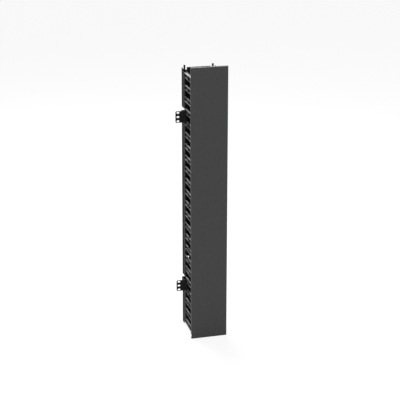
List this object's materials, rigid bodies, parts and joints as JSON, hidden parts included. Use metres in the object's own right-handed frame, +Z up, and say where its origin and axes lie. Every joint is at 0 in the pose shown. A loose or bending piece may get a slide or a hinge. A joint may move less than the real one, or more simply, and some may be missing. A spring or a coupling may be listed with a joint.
{
  "type": "vertical cable manager",
  "caption": "Tall rack-side cable channel with slotted finger walls, a hinged flat metal door, cable pass-throughs in its back and two slotted rack brackets.",
  "frame": {"origin": "centre of the rear bolt pattern, on the rear face of the back channel at mid-height", "axes": "+Z up, +Y out of the rear face, the door faces -Y and the rack brackets are on -X"},
  "size_m": [0.177, 0.157, 1.0557],
  "materials": {
    "black_steel": "fine-texture black powder coat",
    "door_steel": "fine-texture dark grey-black powder coat",
    "black_plastic": "moulded black plastic, fine spark texture",
    "white_plastic": "natural acetal",
    "plated_steel": "zinc plated",
    "screw_steel": "black zinc plated",
    "magnet": "nickel plated"
  },
  "bodies": {
    "root": {"back_channel": "black_steel", "pass_through_grommets": "black_plastic", "left_upper_fingers": "black_plastic", "left_middle_fingers": "black_plastic", "left_lower_fingers": "black_plastic", "right_upper_fingers": "black_plastic", "right_middle_fingers": "black_plastic", "right_lower_fingers": "black_plastic", "left_panel_rivets": "black_plastic", "right_panel_rivets": "black_plastic", "upper_rack_bracket": "black_steel", "lower_rack_bracket": "black_steel", "upper_bracket_screws": "screw_steel", "lower_bracket_screws": "screw_steel", "top_hinge_yoke": "black_steel", "bottom_hinge_yoke": "black_steel", "top_yoke_screws": "screw_steel", "bottom_yoke_screws": "screw_steel", "upper_hinge_bushing": "white_plastic", "lower_hinge_bushing": "white_plastic", "spare_hinge_bushings": "white_plastic", "upper_latch_housing": "black_plastic", "lower_latch_housing": "black_plastic", "upper_latch_spring": "plated_steel", "lower_latch_spring": "plated_steel", "upper_latch_screws": "screw_steel", "lower_latch_screws": "screw_steel"},
    "door": {"door_panel": "door_steel", "door_stiffener": "door_steel", "upper_pin_bracket": "black_steel", "lower_pin_bracket": "black_steel", "upper_pin_spring": "plated_steel", "lower_pin_spring": "plated_steel"},
    "upper_pin": {"upper_hinge_pin": "plated_steel"},
    "lower_pin": {"lower_hinge_pin": "plated_steel"},
    "upper_latch": {"upper_latch_plunger": "white_plastic", "upper_latch_magnet": "magnet"},
    "lower_latch": {"lower_latch_plunger": "white_plastic", "lower_latch_magnet": "magnet"}
  },
  "joints": [
    {"name": "door_hinge", "type": "hinge", "parent": "root", "child": "door", "pos_m": [0.0635, -0.1505, 0], "axis": [0, 0, 1], "range_deg": [0, 110]},
    {"name": "upper_pin_lift", "type": "slide", "parent": "door", "child": "upper_pin", "axis": [0, 0, 1], "range_m": [0, 0.006], "stiffness_N_per_m": 300, "springref_m": -0.004, "deforming": ["upper_pin_spring"]},
    {"name": "lower_pin_lift", "type": "slide", "parent": "door", "child": "lower_pin", "axis": [0, 0, 1], "range_m": [0, 0.006], "stiffness_N_per_m": 300, "springref_m": -0.004, "deforming": ["lower_pin_spring"]},
    {"name": "upper_latch_push", "type": "slide", "parent": "root", "child": "upper_latch", "axis": [0, 1, 0], "range_m": [0, 0.004], "stiffness_N_per_m": 300, "springref_m": -0.004, "deforming": ["upper_latch_spring"]},
    {"name": "lower_latch_push", "type": "slide", "parent": "root", "child": "lower_latch", "axis": [0, 1, 0], "range_m": [0, 0.004], "stiffness_N_per_m": 300, "springref_m": -0.004, "deforming": ["lower_latch_spring"]}
  ]
}
